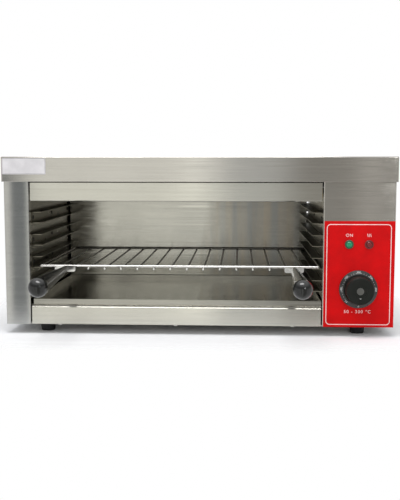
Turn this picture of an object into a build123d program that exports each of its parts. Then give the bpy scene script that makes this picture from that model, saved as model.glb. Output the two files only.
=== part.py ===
from build123d import *
import math
import os

# Countertop salamander grill (cheese melter): a folded stainless case, an open-fronted
# grilling cavity with runners, a sliding wire shelf, a crumb tray and a control panel.
# Millimetres. +X to the right seen from the front, -Y to the front, +Z up.
# The origin lies under the middle of the overall box, on the surface it stands on.

# ---------------------------------------------------------------- overall sizes
cover_width = 610.0
cover_depth = 330.0
overall_height = 278.5
standing_gap = 15.3           # from the worktop to the underside of the case

# ---------------------------------------------------------------- sheet metal
casing_sheet = 1.2
liner_sheet = 0.8
bend_inner_radius = 0.4
case_flange = 12.0            # width of the joining flanges of the case
seat_gap = 0.3                # play between pieces that drop into each other
thread_play = 0.1             # between a thread and what is screwed on it
cut_spare = 1.0               # how far a cutter reaches past the face it starts from

# ---------------------------------------------------------------- top cover
cover_skirt = 38.8
cover_overhang_side = 2.0
cover_overhang_front = 6.0
cover_overhang_back = 2.0
cover_edge_radius = 2.0
cover_lip_gap = 0.5           # between the skirt's turned-in lip and the case

# ---------------------------------------------------------------- case front
stile_width = 39.0            # plain post left of the opening
panel_width = 110.0           # control panel right of the opening
header_bottom_drop = 69.0     # from the top of the cover to the header rail's edge
header_recess = 2.0
header_top_gap = 1.6          # between the cover's skirt and the header rail's top
header_end_gap = 2.0
header_flange = 13.0
bottom_rail_height = 28.5
bottom_rail_left_gap = 2.0
bottom_rail_right_gap = 2.0
bottom_rail_flange = 15.0

# ---------------------------------------------------------------- grilling cavity
back_space = 19.0             # between the cavity's back wall and the back panel
roof_drop = 48.0              # from the top of the cover to the cavity roof
liner_flange = 6.5
back_wall_gap = 3.0           # between the cavity's back wall and its side walls
back_wall_flange = 8.0
wall_setback = 2.0            # from the front face to the liner walls' front edges

# ---------------------------------------------------------------- shelf runners
runner_count = 4
runner_sheet = 1.0
runner_depth = 16.0           # how far a runner stands out from its wall
runner_height = 17.8
runner_front_inset = 18.0
runner_back_gap = 6.0
top_runner_drop = 17.8        # from the header rail's lower edge to the top runner
bottom_ledge_rise = 24.0      # from the cavity floor to the lowest ledge
shelf_level = 2               # runner level that carries the shelf, counted from below
rivet_insets = (8.0, 136.0)   # from a runner's front end; the third lies near its back
rivet_back_inset = 12.0
rivet_head_radius = 3.25
rivet_head_height = 1.2
rivet_head_round = 1.1
rivet_shank_radius = 1.6
rivet_tail_radius = 2.4
rivet_hole_play = 0.1

# ---------------------------------------------------------------- wire shelf
frame_wire_radius = 2.0
bar_wire_radius = 1.6
bar_count = 16
shelf_side_play = 7.75        # mean gap from the opening's edge to the side wire's centre
shelf_offset = 4.4            # the shelf lies this far to the right of the middle
shelf_front_inset = 16.0
shelf_back_gap = 5.0
bar_overhang = 3.0
bar_end_round = 0.7
frame_corner_radius = 3.0
shelf_rest_gap = 0.3

# ---------------------------------------------------------------- shelf handles
plate_width = 30.0
plate_height = 9.5
plate_corner_radius = 3.2
plate_sheet = 1.5
stud_radius = 2.5
stud_length = 38.0
stud_play = 0.05
grip_start_gap = 0.4
grip_reach = 180.0            # from the plate to the centre of the ball
grip_neck_radius = 4.8
grip_ball_radius = 13.7
handle_tilt = 1.0             # degrees downwards
left_handle_inset = 42.9      # from the shelf's side wire to the handle
right_handle_inset = 39.8

# ---------------------------------------------------------------- crumb tray
tray_sheet = 0.8
tray_height = 9.5
tray_front_inset = 8.6
tray_back_gap = 4.0
tray_left_gap = 3.0
tray_right_gap = 1.0
tray_rest_gap = 0.3
tray_hem = 5.0
tray_edge_radius = 1.0

# ---------------------------------------------------------------- heating elements
element_radius = 4.0
element_hang = 10.0           # from the roof down to the tubes' centres
element_front_inset = 48.0
element_back_inset = 43.0
element_leg_count = 8
element_side_inset = 22.0
element_short_stop = 30.0     # where the middle bend stops short of the right wall
element_outlet = 13.0         # how far a tube reaches into the control side
bracket_sheet = 1.0
bracket_edge = 6.5
bracket_inset = 95.0          # from each side wall
bracket_hole_play = 0.3
bush_barrel_radius = 6.0
bush_flange_radius = 9.0
bush_flange_height = 1.5
bush_length = 9.0
bush_bore_play = 0.1
bush_hole_play = 0.2
bush_nut_flats = 17.0
bush_nut_height = 4.0
insulator_radius = 3.6
insulator_length = 6.0
terminal_radius = 2.0
terminal_length = 12.0
terminal_nut_flats = 7.0
terminal_nut_height = 3.0
terminal_wire_inset = 4.0     # from a terminal's end to the wires across it

# ---------------------------------------------------------------- control panel
label_sheet = 0.4
label_left_inset = 1.7
label_right_inset = 0.4
label_height = 164.7
lamp_rise = 128.8             # above the underside of the case
lamp_pitch = 30.4
knob_rise = 59.4              # above the underside of the case
panel_bore_play = 0.2
lamp_body_radius = 4.8
lamp_body_length = 24.0
lamp_lens_radius = 4.65
lamp_lens_height = 3.2
lamp_lens_round = 2.2
lamp_bezel_radius = 6.8
lamp_bezel_height = 1.7
lamp_bezel_round = 0.8
lamp_bezel_play = 0.2
dial_radius = 29.5
dial_rim_height = 1.6
dial_height = 5.0
dial_top_radius = 23.6
dial_web = 0.4                # flat part of the dial ring behind the knob
knob_radius = 22.0
knob_taper = 0.9
knob_height = 24.6            # from the label to the knob's front
knob_back_gap = 0.8
knob_dial_gap = 0.4
knob_edge_round = 2.2
knob_back_recess_radius = 10.4
knob_back_recess_depth = 7.0
knob_front_recess_radius = 10.5
knob_front_recess_depth = 0.8
knob_cap_radius = 5.4
knob_cap_height = 0.8
knob_cap_play = 0.1
knob_groove_width = 1.2
knob_groove_depth = 0.7
shaft_radius = 3.0
shaft_flat_depth = 1.4
shaft_play = 0.08
shaft_in_knob = 11.0
shaft_in_body = 12.0
thermostat_width = 42.0
thermostat_depth = 27.0
thermostat_corner_radius = 1.2
boss_radius = 4.9
boss_reach = 4.6              # in front of the panel
boss_nut_flats = 14.0
boss_nut_height = 3.0
label_nut_play = 2.0          # between the nut's corners and the label's hole
blade_width = 6.3
blade_sheet = 0.8
blade_length = 8.0
blade_pitch = 20.0
capillary_radius = 0.9
capillary_bend = 12.0
capillary_setback = 26.0      # behind the front face, clear of the lamp bodies
bulb_radius = 3.0
bulb_length = 100.0
bulb_end_round = 1.5
bulb_wall_gap = 10.0          # from the back wall to the bulb's centre
bulb_side_inset = 16.0
clip_width = 8.0
clip_wall = 1.0
clip_play = 0.1
clip_inset = 18.0

# ---------------------------------------------------------------- mains connections
gland_rise = 43.2             # above the underside of the case
gland_bore_radius = 4.7
gland_thread_radius = 9.6
gland_flats = 24.0
gland_collar_height = 5.0
gland_cap_height = 11.0
gland_cap_radius = 10.8
gland_cap_round = 3.6
gland_inside_length = 11.0
gland_nut_height = 5.0
gland_hole_play = 0.2
block_width = 34.0
block_depth = 22.0
block_height = 18.0
block_pitch = 10.0
block_back_inset = 60.0
block_screw_inset = 5.5       # from the block's front and back faces
block_screw_radius = 2.0
block_well_radius = 2.3
block_well_depth = 7.0
block_screw_height = 2.0
wire_radius = 1.3
wire_bend = 8.0
wire_rise = 10.0              # above the base plate
lead_radius = 0.8
lead_bend = 4.0
lead_offset = 2.5
lead_drop = 6.5               # below the top of the thermostat
lead_setback = 11.0
jumper_rise = 20.0
earth_offset = 24.0           # to the right of the block's third way
earth_forward = 70.0
earth_stud_radius = 2.0
earth_stud_height = 16.0
earth_nut_flats = 7.0
earth_nut_height = 3.2

# ---------------------------------------------------------------- feet and screws
foot_inset_left = 58.5        # from the case side to the foot's centre
foot_inset_right = 51.3
foot_inset_depth = 34.0       # from the case's front and back faces
foot_top_radius = 12.8
foot_bottom_radius = 10.7
foot_edge_round = 1.2
foot_recess_radius = 5.4
foot_recess_depth = 8.0
foot_screw_radius = 2.0
foot_screw_play = 0.15
foot_screw_head_radius = 3.9
foot_screw_head_height = 2.6
foot_nut_flats = 7.0
foot_nut_height = 3.2
foot_screw_spare = 2.0        # thread that stands out above the nut
screw_head_radius = 3.8
screw_head_height = 1.8
screw_head_round = 1.1
screw_shank_radius = 1.9
screw_shank_length = 8.0
screw_hole_play = 0.1
screw_slot_length = 4.4
screw_slot_width = 0.8
screw_slot_depth = 1.0
back_screw_low = 22.6         # above the underside of the case
back_screw_top_inset = 49.0   # below the top of the cover
base_screw_spacing = 200.0
side_screw_inset = 60.0
rail_screw_inset = 45.5       # from the opening's sides; the third screw is midway
cover_screw_inset = 55.0
cover_screw_drop = 20.0

# ---------------------------------------------------------------- vents and badge
vent_length = 38.0
vent_width = 4.0
vent_pitch = 10.0
back_vent_rows = 6
back_vent_columns = 3
back_vent_column_pitch = 50.0
back_vent_top_drop = 64.0
side_vent_count = 7
side_vent_pitch = 14.0
side_vent_rise = 90.0
badge_width = 68.0
badge_height = 25.0
badge_sheet = 0.8
badge_corner_radius = 1.5
badge_left_inset = 2.2
badge_top_inset = 2.4

# ---------------------------------------------------------------- derived places
half_case = cover_width / 2 - cover_overhang_side
case_depth = cover_depth - cover_overhang_front - cover_overhang_back
case_bottom = standing_gap
case_top = overall_height - casing_sheet
opening_left = -half_case + stile_width
opening_right = half_case - panel_width
tilt_cosine = math.cos(math.radians(handle_tilt))

plate_front_inset = shelf_front_inset - frame_wire_radius - bar_overhang - plate_sheet
front_reach = grip_reach * tilt_cosine + grip_ball_radius - plate_front_inset
back_reach = case_depth + gland_collar_height + gland_cap_height
front = (front_reach - back_reach) / 2
back = front + case_depth
panel_inner = front + casing_sheet
back_inner = back - casing_sheet

base_bottom = case_bottom + casing_sheet
base_top = base_bottom + casing_sheet
wall_left = opening_left - casing_sheet
wall_right = opening_right + casing_sheet
cavity_back = back_inner - back_space - liner_sheet
header_bottom = overall_height - header_bottom_drop
header_front = front + header_recess
header_top = overall_height - cover_skirt - header_top_gap
header_span = (opening_left + header_end_gap, opening_right - header_end_gap)
rail_top = case_bottom + bottom_rail_height
floor_top = rail_top + liner_sheet
roof_bottom = overall_height - roof_drop
roof_top = roof_bottom + liner_sheet
liner_top = roof_top + liner_flange

lowest_ledge = floor_top + bottom_ledge_rise
highest_ledge = header_bottom - top_runner_drop - runner_height + runner_sheet
runner_pitch = (highest_ledge - lowest_ledge) / (runner_count - 1)
runner_ledges = [lowest_ledge + level * runner_pitch for level in range(runner_count)]
runner_front = front + runner_front_inset
runner_back = cavity_back - runner_back_gap
runner_middle = (runner_height - 2 * runner_sheet) / 2
rivet_places = [runner_front + inset for inset in rivet_insets] + [runner_back - rivet_back_inset]

shelf_middle = (opening_left + opening_right) / 2 + shelf_offset
shelf_width = opening_right - opening_left - 2 * shelf_side_play
shelf_left = shelf_middle - shelf_width / 2
shelf_right = shelf_middle + shelf_width / 2
shelf_front = front + shelf_front_inset
shelf_back = cavity_back - shelf_back_gap
shelf_height = runner_ledges[shelf_level - 1] + shelf_rest_gap + frame_wire_radius
bar_pitch = shelf_width / (bar_count + 1)
bar_height = shelf_height - frame_wire_radius - bar_wire_radius
handle_places = (shelf_left + left_handle_inset, shelf_right - right_handle_inset)
plate_front = front + plate_front_inset

tray_bottom = floor_top + tray_rest_gap
tray_left = opening_left + tray_left_gap
tray_right = opening_right - tray_right_gap
tray_front = front + tray_front_inset
tray_back = cavity_back - tray_back_gap

element_height = roof_bottom - element_hang
element_run = cavity_back - front - element_front_inset - element_back_inset
leg_pitch = element_run / (element_leg_count - 1)
leg_places = [front + element_front_inset + leg * leg_pitch for leg in range(element_leg_count)]
legs_per_element = element_leg_count // 2
front_ends = (leg_places[0], leg_places[legs_per_element - 1])
rear_ends = (leg_places[legs_per_element], leg_places[-1])
element_ends = front_ends + rear_ends
wall_right_outer = wall_right + liner_sheet
element_end = wall_right_outer + element_outlet
terminal_start = element_end + insulator_length
terminal_end = terminal_start + terminal_length

panel_middle = (opening_right + half_case) / 2
label_front = front - label_sheet
lamp_height = case_bottom + lamp_rise
knob_axis = case_bottom + knob_rise
knob_back = label_front - knob_back_gap
knob_front = label_front - knob_height
lamp_places = (panel_middle - lamp_pitch / 2, panel_middle + lamp_pitch / 2)
thermostat_back = panel_inner + thermostat_depth
blade_end = thermostat_back + blade_length
thermostat_top = knob_axis + thermostat_width / 2
label_nut_hole = boss_nut_flats / math.sqrt(3) + label_nut_play

capillary_x = lamp_places[1]
capillary_y = front + capillary_setback
bulb_y = cavity_back - bulb_wall_gap
bulb_right = wall_right - bulb_side_inset
bulb_left = bulb_right - bulb_length

gland_height = case_bottom + gland_rise
block_back = back_inner - block_back_inset
block_front = block_back - block_depth
block_top = base_top + block_height
block_screw_y = (block_front + block_screw_inset, block_back - block_screw_inset)
way_places = [panel_middle + way * block_pitch for way in (-1, 0, 1)]
wire_height = base_top + wire_rise

foot_places = [
    (x, y)
    for x in (-half_case + foot_inset_left, half_case - foot_inset_right)
    for y in (front + foot_inset_depth, back - foot_inset_depth)
]


# ---------------------------------------------------------------- small shape helpers
def block(x, y, z):
    """Box between two X, two Y and two Z values."""
    size = Box(abs(x[1] - x[0]), abs(y[1] - y[0]), abs(z[1] - z[0]))
    return Pos((x[0] + x[1]) / 2, (y[0] + y[1]) / 2, (z[0] + z[1]) / 2) * size


def rod_x(radius, x, y, z):
    """Cylinder along X between two X values."""
    return Pos((x[0] + x[1]) / 2, y, z) * Rot(0, 90, 0) * Cylinder(radius, abs(x[1] - x[0]))


def rod_y(radius, x, y, z):
    """Cylinder along Y between two Y values."""
    return Pos(x, (y[0] + y[1]) / 2, z) * Rot(90, 0, 0) * Cylinder(radius, abs(y[1] - y[0]))


def rod_z(radius, x, y, z):
    """Cylinder along Z between two Z values."""
    return Pos(x, y, (z[0] + z[1]) / 2) * Cylinder(radius, abs(z[1] - z[0]))


def folded_section(points, sheet):
    """Cross-section of a bent sheet whose middle follows the points."""
    line = FilletPolyline(*points, radius=bend_inner_radius + sheet / 2)
    return trace(line, sheet)


def folded_upright(points, sheet, z):
    """Bent sheet that stands up, with its section in plan."""
    return extrude(Pos(0, 0, z[0]) * folded_section(points, sheet), z[1] - z[0])


def folded_across(points, sheet, x):
    """Bent sheet that runs along X, with its section given as (y, z) points."""
    section = Pos(x[0], 0, 0) * (Plane.YZ * folded_section(points, sheet))
    return extrude(section, x[1] - x[0], dir=(1, 0, 0))


def folded_inward(points, sheet, y):
    """Bent sheet that runs along Y, with its section given as (x, z) points."""
    section = Pos(0, y[0], 0) * (Plane.XZ * folded_section(points, sheet))
    return extrude(section, y[1] - y[0], dir=(0, 1, 0))


def tube(points, radius, bend):
    """Round bar or wire along straight runs joined by tangent arcs."""
    path = FilletPolyline(*points, radius=bend)
    return sweep(Plane(origin=path @ 0, z_dir=path % 0) * Circle(radius), path=path)


def hexagon(flats, height):
    """Hexagonal prism on the XY plane."""
    return extrude(RegularPolygon(flats / 2, 6, major_radius=False), height)


def screw():
    """Pan-head screw along Z: the head's underside at zero, the shank below it."""
    head = Pos(0, 0, screw_head_height / 2) * Cylinder(screw_head_radius, screw_head_height)
    head = fillet(head.edges().group_by(Axis.Z)[-1], screw_head_round)
    cut_z = (screw_head_height - screw_slot_depth, screw_head_height)
    half_length = screw_slot_length / 2
    half_width = screw_slot_width / 2
    head -= block((-half_length, half_length), (-half_width, half_width), cut_z)
    head -= block((-half_width, half_width), (-half_length, half_length), cut_z)
    return head + rod_z(screw_shank_radius, 0, 0, (-screw_shank_length, 0))


def screw_bore_y(x, y, z):
    """Clearance hole for a case screw, along Y."""
    return rod_y(screw_shank_radius + screw_hole_play, x, y, z)


def screw_bore_x(x, y, z):
    """Clearance hole for a case screw, along X."""
    return rod_x(screw_shank_radius + screw_hole_play, x, y, z)


def mirrored(shape):
    """The same shape on the other side of the YZ plane."""
    return mirror(shape, about=Plane.YZ)


# ---------------------------------------------------------------- screw places
back_screw_x = half_case - case_flange / 2
back_screw_z = [
    case_bottom + back_screw_low,
    (case_bottom + back_screw_low + overall_height - back_screw_top_inset) / 2,
    overall_height - back_screw_top_inset,
]
base_flange_screw_z = base_bottom + case_flange / 2
side_screw_y = (front + side_screw_inset, back - side_screw_inset)
side_screw_z = base_top + case_flange / 2
rail_screw_x = (
    opening_left + rail_screw_inset,
    (opening_left + opening_right) / 2,
    opening_right - rail_screw_inset,
)
rail_screw_y = front + case_flange / 2
cover_screw_x = half_case - cover_screw_inset
cover_screw_z = overall_height - cover_screw_drop
cover_back = front - cover_overhang_front + cover_depth


# ---------------------------------------------------------------- outer case
def top_cover():
    """Lid with a skirt all round and a lip turned in along the front."""
    x = cover_width / 2
    y0 = front - cover_overhang_front
    skirt_bottom = overall_height - cover_skirt
    shell = block((-x, x), (y0, cover_back), (skirt_bottom, overall_height))
    shell = fillet(shell.edges().filter_by(Axis.Z), cover_edge_radius)
    shell = fillet(shell.edges().group_by(Axis.Z)[-1], cover_edge_radius)
    t = casing_sheet
    hollow = block((-x + t, x - t), (y0 + t, cover_back - t), (skirt_bottom, overall_height - t))
    inner_radius = cover_edge_radius - t
    hollow = fillet(hollow.edges().filter_by(Axis.Z), inner_radius)
    hollow = fillet(hollow.edges().group_by(Axis.Z)[-1], inner_radius)
    lip_back = front - cover_lip_gap
    lip = block((-x + t, x - t), (y0 + t / 2, lip_back), (skirt_bottom, skirt_bottom + t))
    cover = shell - hollow + lip
    front_edge = cover.edges().filter_by(Axis.X).sort_by_distance((0, y0, skirt_bottom))[0]
    cover = fillet(front_edge, t / 2)
    for side in (-1, 1):
        cover -= screw_bore_y(side * cover_screw_x, (cover_back - 2 * t, cover_back + t), cover_screw_z)
    return cover


def badge_plate():
    """Bare plate at the left end of the cover's front skirt."""
    left = -cover_width / 2 + badge_left_inset
    top = overall_height - badge_top_inset
    y1 = front - cover_overhang_front
    plate = block((left, left + badge_width), (y1 - badge_sheet, y1), (top - badge_height, top))
    return fillet(plate.edges().filter_by(Axis.Y), badge_corner_radius)


def case_side(front_width):
    """One side of the case, built on the left: outer wall, front face and flanges."""
    t = casing_sheet
    outer = -half_case
    inner = outer + front_width
    points = [
        (outer + case_flange, back_inner - t / 2),
        (outer + t / 2, back_inner - t / 2),
        (outer + t / 2, front + t / 2),
        (inner - t / 2, front + t / 2),
        (inner - t / 2, front + case_flange),
    ]
    wall = folded_upright(points, t, (case_bottom, case_top))
    flange_y = (front + t + bend_inner_radius, back_inner - t - bend_inner_radius)
    flange_x = (outer + t / 2, outer + case_flange)
    wall += block(flange_x, flange_y, (case_bottom, case_bottom + t))
    wall += block(flange_x, flange_y, (case_top - t, case_top))
    relief_y = (flange_y[0], front + 2 * case_flange)
    wall -= block((inner - 2 * t, inner + t), relief_y, (case_bottom - t, base_top + seat_gap))
    for z in back_screw_z:
        wall -= screw_bore_y(-back_screw_x, (back_inner - 2 * t, back_inner + t), z)
    for y in side_screw_y:
        wall -= screw_bore_x((outer - t, outer + 2 * t), y, side_screw_z)
    return wall


def left_side_casing():
    return case_side(stile_width)


def vent_slot(length, width, depth):
    """Rounded slot cutter, long along X and cutting along Z."""
    return extrude(SlotOverall(length, width), depth, both=True)


def right_side_casing():
    """Right side of the case: its front is the control panel."""
    case = mirrored(case_side(panel_width))
    cut = (front - casing_sheet, front + 2 * casing_sheet)
    for x in lamp_places:
        case -= rod_y(lamp_body_radius + panel_bore_play, x, cut, lamp_height)
    case -= rod_y(boss_radius + panel_bore_play, panel_middle, cut, knob_axis)
    vent = Rot(0, 90, 0) * vent_slot(vent_length, vent_width, 2 * casing_sheet)
    middle_y = (front + back) / 2
    for index in range(side_vent_count):
        y = middle_y + (index - (side_vent_count - 1) / 2) * side_vent_pitch
        case -= Pos(half_case, y, case_bottom + side_vent_rise) * vent
    return case


def front_header_rail():
    """Angle across the top of the opening, with its upper edge just under the skirt."""
    t = casing_sheet
    y = header_front + t / 2
    points = [
        (header_front + header_flange, header_bottom + t / 2),
        (y, header_bottom + t / 2),
        (y, header_top),
    ]
    return folded_across(points, t, header_span)


def bottom_front_rail():
    """Channel across the bottom of the opening."""
    t = casing_sheet
    y = front + t / 2
    points = [
        (front + case_flange, case_bottom + t / 2),
        (y, case_bottom + t / 2),
        (y, rail_top - t / 2),
        (front + bottom_rail_flange, rail_top - t / 2),
    ]
    span = (opening_left + bottom_rail_left_gap, opening_right - bottom_rail_right_gap)
    rail = folded_across(points, t, span)
    for x in rail_screw_x:
        rail -= rod_z(screw_shank_radius + screw_hole_play, x, rail_screw_y, (case_bottom - t, base_top))
    return rail


def back_panel():
    """Flat back of the case with vents and the hole for the cable gland."""
    x = half_case - cover_edge_radius - seat_gap
    panel = block((-x, x), (back_inner, back), (case_bottom, case_top))
    cut = (back_inner - casing_sheet, back + casing_sheet)
    for side in (-1, 1):
        for z in back_screw_z:
            panel -= screw_bore_y(side * back_screw_x, cut, z)
        panel -= screw_bore_y(side * base_screw_spacing / 2, cut, base_flange_screw_z)
        panel -= screw_bore_y(side * cover_screw_x, cut, cover_screw_z)
    panel -= rod_y(gland_thread_radius + gland_hole_play, panel_middle, cut, gland_height)
    vent = Rot(90, 0, 0) * vent_slot(vent_length, vent_width, 2 * casing_sheet)
    for column in range(back_vent_columns):
        vent_x = panel_middle - column * back_vent_column_pitch
        for row in range(back_vent_rows):
            vent_z = overall_height - back_vent_top_drop - row * vent_pitch
            panel -= Pos(vent_x, back_inner, vent_z) * vent
    return panel


def base_plate():
    """Bottom of the case with flanges turned up at the sides and the back."""
    t = casing_sheet
    x = half_case - t - seat_gap
    strip_x = half_case - case_flange - seat_gap
    y0 = panel_inner + bend_inner_radius + seat_gap
    y1 = back_inner - t - seat_gap
    plate = block((-x, x), (y0, y1), (base_bottom, base_top))
    plate += block((-strip_x, strip_x), (y1 - t, back_inner), (base_bottom, base_top))
    flange_top = base_bottom + case_flange
    plate += block((-strip_x, strip_x), (back_inner - t, back_inner), (base_bottom, flange_top))
    for side in (-1, 1):
        plate += block((side * x, side * (x - t)), (y0, y1), (base_bottom, flange_top))
        plate -= screw_bore_y(side * base_screw_spacing / 2, (back_inner - 2 * t, back), base_flange_screw_z)
        for y in side_screw_y:
            plate -= screw_bore_x((side * (x - 2 * t), side * (x + t)), y, side_screw_z)
    for foot_x, foot_y in foot_places:
        hole = foot_screw_radius + foot_screw_play
        plate -= rod_z(hole, foot_x, foot_y, (base_bottom - t, base_top + t))
    for rail_x in rail_screw_x:
        hole = screw_shank_radius + screw_hole_play
        plate -= rod_z(hole, rail_x, rail_screw_y, (base_bottom - t, base_top + t))
    return plate


# ---------------------------------------------------------------- cavity lining
def rivet_holes(wall_x, side):
    """Holes for the runners' rivets through one side wall."""
    holes = []
    for ledge in runner_ledges:
        for y in rivet_places:
            x = (wall_x - side * liner_sheet, wall_x + side * 2 * liner_sheet)
            holes.append(rod_x(rivet_shank_radius + rivet_hole_play, x, y, ledge + runner_middle))
    return holes


def cavity_left_wall():
    x = (wall_left - liner_sheet, wall_left)
    wall = block(x, (front + wall_setback, cavity_back + liner_sheet), (base_top, liner_top))
    return wall - rivet_holes(wall_left, -1)


def cavity_right_wall():
    x = (wall_right, wall_right_outer)
    wall = block(x, (front + wall_setback, cavity_back + liner_sheet), (base_top, liner_top))
    wall = wall - rivet_holes(wall_right, 1)
    cut = (wall_right - liner_sheet, wall_right_outer + liner_sheet)
    for y in element_ends:
        wall -= rod_x(bush_barrel_radius + bush_hole_play, cut, y, element_height)
    return wall - rod_x(capillary_radius + bush_hole_play, cut, bulb_y, element_height)


def cavity_back_wall():
    """Back of the cavity, a little narrower than the cavity, with its sides turned back."""
    t = liner_sheet
    left = wall_left + back_wall_gap + t / 2
    right = wall_right - back_wall_gap - t / 2
    points = [
        (left, cavity_back + back_wall_flange),
        (left, cavity_back + t / 2),
        (right, cavity_back + t / 2),
        (right, cavity_back + back_wall_flange),
    ]
    return folded_upright(points, t, (base_top, liner_top))


def liner_panel(front_edge, z, flange_z):
    """Flat lining sheet between the walls, with flanges along its sides and its back."""
    inner_front = front + case_flange + seat_gap
    sheet = block((wall_left, wall_right), (inner_front, cavity_back), z)
    sheet += block(header_span, (front_edge, inner_front + liner_sheet), z)
    sheet += block((wall_left, wall_right), (cavity_back - liner_sheet, cavity_back), flange_z)
    sheet += block((wall_left, wall_left + liner_sheet), (inner_front, cavity_back), flange_z)
    sheet += block((wall_right - liner_sheet, wall_right), (inner_front, cavity_back), flange_z)
    return sheet


def cavity_roof():
    """Reflector above the heating elements, with its flanges turned up."""
    roof_front = header_front + casing_sheet
    flange_z = (roof_bottom, liner_top)
    roof = liner_panel(roof_front, (roof_bottom, roof_top), flange_z)
    return roof + block(header_span, (roof_front, roof_front + liner_sheet), flange_z)


def cavity_floor():
    """Sheet that the crumb tray slides on, with its flanges turned down."""
    return liner_panel(panel_inner, (rail_top, floor_top), (floor_top - liner_flange, floor_top))


# ---------------------------------------------------------------- runners
def runners(wall_x, side):
    """Channels on one side wall, open towards the cavity."""
    t = runner_sheet
    inner = wall_x - side * runner_depth
    web = wall_x - side * t / 2
    channels = []
    for ledge in runner_ledges:
        low = ledge - t / 2
        high = ledge - t + runner_height - t / 2
        points = [(inner, high), (web, high), (web, low), (inner, low)]
        channel = folded_inward(points, t, (runner_front, runner_back))
        for y in rivet_places:
            x = (wall_x - side * 2 * t, wall_x + side * t)
            channel -= rod_x(rivet_shank_radius + rivet_hole_play, x, y, ledge + runner_middle)
        channels.append(channel)
    return channels


def rivet():
    """Dome rivet along Z: the head's underside at zero, the shank and its tail below."""
    head = Pos(0, 0, rivet_head_height / 2) * Cylinder(rivet_head_radius, rivet_head_height)
    head = fillet(head.edges().group_by(Axis.Z)[-1], rivet_head_round)
    grip = runner_sheet + liner_sheet
    shank = rod_z(rivet_shank_radius, 0, 0, (-grip - rivet_head_height, 0))
    tail = rod_z(rivet_tail_radius, 0, 0, (-grip - rivet_head_height, -grip))
    return head + shank + tail


def runner_rivets():
    rivets = []
    for wall_x, side in ((wall_left, -1), (wall_right, 1)):
        for ledge in runner_ledges:
            for y in rivet_places:
                head_x = wall_x - side * runner_sheet
                place = Pos(head_x, y, ledge + runner_middle) * Rot(0, -side * 90, 0)
                rivets.append(place * rivet())
    return rivets


# ---------------------------------------------------------------- wire shelf
def shelf_frame():
    """Rectangle of heavy wire round the shelf."""
    corners = [
        (shelf_left, shelf_front, shelf_height),
        (shelf_right, shelf_front, shelf_height),
        (shelf_right, shelf_back, shelf_height),
        (shelf_left, shelf_back, shelf_height),
    ]
    path = FilletPolyline(*corners, radius=frame_corner_radius, close=True)
    return sweep(Plane(origin=path @ 0, z_dir=path % 0) * Circle(frame_wire_radius), path=path)


def shelf_bars():
    """Thin bars from front to back, under the frame."""
    y0 = shelf_front - frame_wire_radius - bar_overhang
    y1 = shelf_back + frame_wire_radius
    bars = []
    for index in range(bar_count):
        bar = rod_y(bar_wire_radius, shelf_left + (index + 1) * bar_pitch, (y0, y1), bar_height)
        bars.append(fillet(bar.edges().group_by(Axis.Y)[0], bar_end_round))
    return bars


def handle_brackets():
    """Steel plates across two bar ends, each with the stud that carries a grip."""
    brackets = []
    for x in handle_places:
        outline = RectangleRounded(plate_width, plate_height, plate_corner_radius)
        plate = Rot(90, 0, 0) * extrude(outline, plate_sheet)
        plate = Pos(x, plate_front + plate_sheet, bar_height) * plate
        stud = Pos(0, 0, stud_length / 2) * Cylinder(stud_radius, stud_length)
        stud = Pos(x, plate_front + plate_sheet / 2, bar_height) * Rot(90 + handle_tilt, 0, 0) * stud
        across = (x - plate_width / 2, x + plate_width / 2)
        stud -= block(across, (plate_front + plate_sheet, shelf_front), (0, overall_height))
        brackets.append(plate + stud)
    return brackets


def handle_grip(x):
    """Grip that widens evenly from its neck to its ball end, pushed over its stud."""
    length = grip_reach - grip_start_gap
    slope = math.asin(grip_ball_radius / math.hypot(length, grip_neck_radius))
    slope -= math.atan2(grip_neck_radius, length)
    shoulder_radius = grip_ball_radius * math.cos(slope)
    shoulder = grip_reach - grip_ball_radius * math.sin(slope)
    outline = Polyline(
        (0, grip_reach + grip_ball_radius),
        (0, grip_start_gap),
        (grip_neck_radius, grip_start_gap),
        (shoulder_radius, shoulder),
    )
    ball = TangentArc(outline @ 1, outline @ 0, tangent=outline % 1)
    grip = revolve(Plane.XZ * make_face([outline, ball]), Axis.Z)
    bore_end = stud_length + stud_play
    grip -= rod_z(stud_radius + stud_play, 0, 0, (0, bore_end))
    return Pos(x, plate_front, bar_height) * Rot(90 + handle_tilt, 0, 0) * grip


# ---------------------------------------------------------------- crumb tray
def crumb_tray():
    """Shallow pan with a hemmed front."""
    t = tray_sheet
    z = (tray_bottom, tray_bottom + tray_height)
    pan = block((tray_left, tray_right), (tray_front, tray_back), z)
    pan = fillet(pan.edges().group_by(Axis.Z)[0], tray_edge_radius)
    hollow_x = (tray_left + t, tray_right - t)
    pan -= block(hollow_x, (tray_front + t, tray_back - t), (z[0] + t, z[1]))
    hem_z = (z[1] - tray_hem, z[1])
    return pan + block(hollow_x, (tray_front + t, tray_front + 2 * t), hem_z)


# ---------------------------------------------------------------- heating
def heating_element(legs):
    """Sheathed tube bent into an M in one level plane."""
    left = wall_left + element_side_inset
    stop = wall_right - element_short_stop
    z = element_height
    points = [
        (element_end, legs[0], z),
        (left, legs[0], z),
        (left, legs[1], z),
        (stop, legs[1], z),
        (stop, legs[2], z),
        (left, legs[2], z),
        (left, legs[3], z),
        (element_end, legs[3], z),
    ]
    return tube(points, element_radius, leg_pitch / 2 - seat_gap)


def element_brackets():
    """Hangers under the roof with a hole for each leg of the elements."""
    brackets = []
    low = element_height - bracket_edge
    y = (leg_places[0] - 2 * bracket_edge, leg_places[-1] + 2 * bracket_edge)
    for x in (wall_left + bracket_inset, wall_right - bracket_inset):
        hanger = block((x, x + bracket_sheet), y, (low, roof_bottom))
        hanger += block((x, x + bracket_edge), y, (roof_bottom - bracket_sheet, roof_bottom))
        for leg in leg_places:
            hole = element_radius + bracket_hole_play
            hanger -= rod_x(hole, (x - bracket_sheet, x + 2 * bracket_sheet), leg, element_height)
        brackets.append(hanger)
    return brackets


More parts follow.
